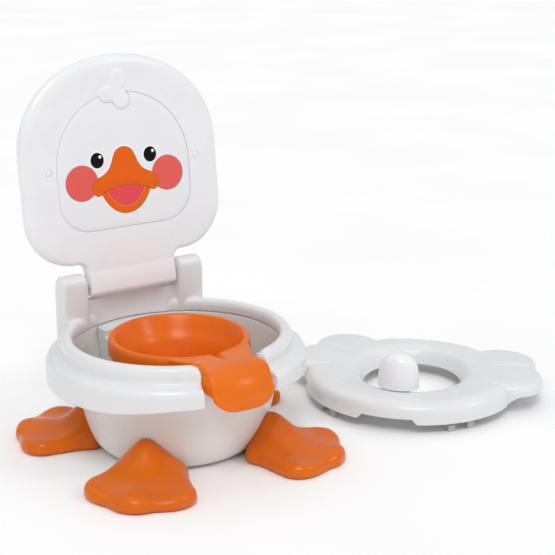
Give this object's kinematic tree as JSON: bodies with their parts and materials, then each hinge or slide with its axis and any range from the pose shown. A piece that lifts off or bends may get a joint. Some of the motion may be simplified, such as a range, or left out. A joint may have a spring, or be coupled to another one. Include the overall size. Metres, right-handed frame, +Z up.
{
  "type": "potty training chair",
  "caption": "Duck-shaped toddler potty with hinged face lid, lift-out pot with beak handle, webbed feet and a separate seat ring with splash guard.",
  "frame": {"origin": "on the floor, under the middle of the bowl, on the bowl's flat underside", "axes": "+Z up, -Y towards the front of the potty, where the pot's handle sticks out; +X towards the potty's own left, where the seat ring lies"},
  "size_m": [0.6097, 0.3051, 0.4128],
  "materials": {
    "white_plastic": "smooth moulded, semi-gloss",
    "bowl_white": "smooth moulded, semi-gloss, slightly warmer white",
    "orange_pot": "smooth moulded, semi-gloss",
    "orange_feet": "smooth moulded, satin",
    "face_print": "smooth printed sheet",
    "print_black": "printed ink",
    "print_coral": "printed ink",
    "print_orange": "printed ink",
    "print_pink": "printed ink",
    "clip_grey": "moulded, satin",
    "pad_rubber": "soft, matt",
    "screw_steel": "zinc plated"
  },
  "bodies": {
    "base": {"base_bowl": "bowl_white", "upper_frame": "white_plastic", "pot_rest": "white_plastic", "foot_front_left": "orange_feet", "foot_front_right": "orange_feet", "foot_rear_left": "orange_feet", "foot_rear_right": "orange_feet", "foot_pad_front_left": "pad_rubber", "foot_pad_front_right": "pad_rubber", "foot_pad_rear_left": "pad_rubber", "foot_pad_rear_right": "pad_rubber", "foot_screw_front_left": "screw_steel", "foot_screw_front_right": "screw_steel", "foot_screw_rear_left": "screw_steel", "foot_screw_rear_right": "screw_steel", "hinge_pin_left": "screw_steel", "hinge_pin_right": "screw_steel", "pot_clip_left": "white_plastic", "pot_clip_right": "white_plastic"},
    "lid": {"lid_shell": "white_plastic", "lid_back_cover": "white_plastic", "face_panel": "face_print", "lid_bumper_left": "white_plastic", "lid_bumper_right": "white_plastic"},
    "pot": {"pot": "orange_pot"},
    "ring": {"seat_ring": "white_plastic", "ring_clip_front_left": "clip_grey", "ring_clip_front_right": "clip_grey", "ring_clip_rear_left": "clip_grey", "ring_clip_rear_right": "clip_grey"},
    "guard": {"splash_guard": "white_plastic"}
  },
  "joints": [
    {"name": "lid_hinge", "type": "hinge", "parent": "base", "child": "lid", "pos_m": [0, 0.107, 0.162], "axis": [1, 0, 0], "range_deg": [0, 96.3]},
    {"name": "pot_lift", "type": "slide", "parent": "base", "child": "pot", "axis": [0, 0, 1], "range_m": [0, 0.2]},
    {"name": "ring_lift", "type": "slide", "parent": "base", "child": "ring", "axis": [0, 0, 1], "range_m": [0, 0.2]},
    {"name": "guard_pull", "type": "slide", "parent": "ring", "child": "guard", "axis": [0, 0, 1], "range_m": [0, 0.06]}
  ]
}
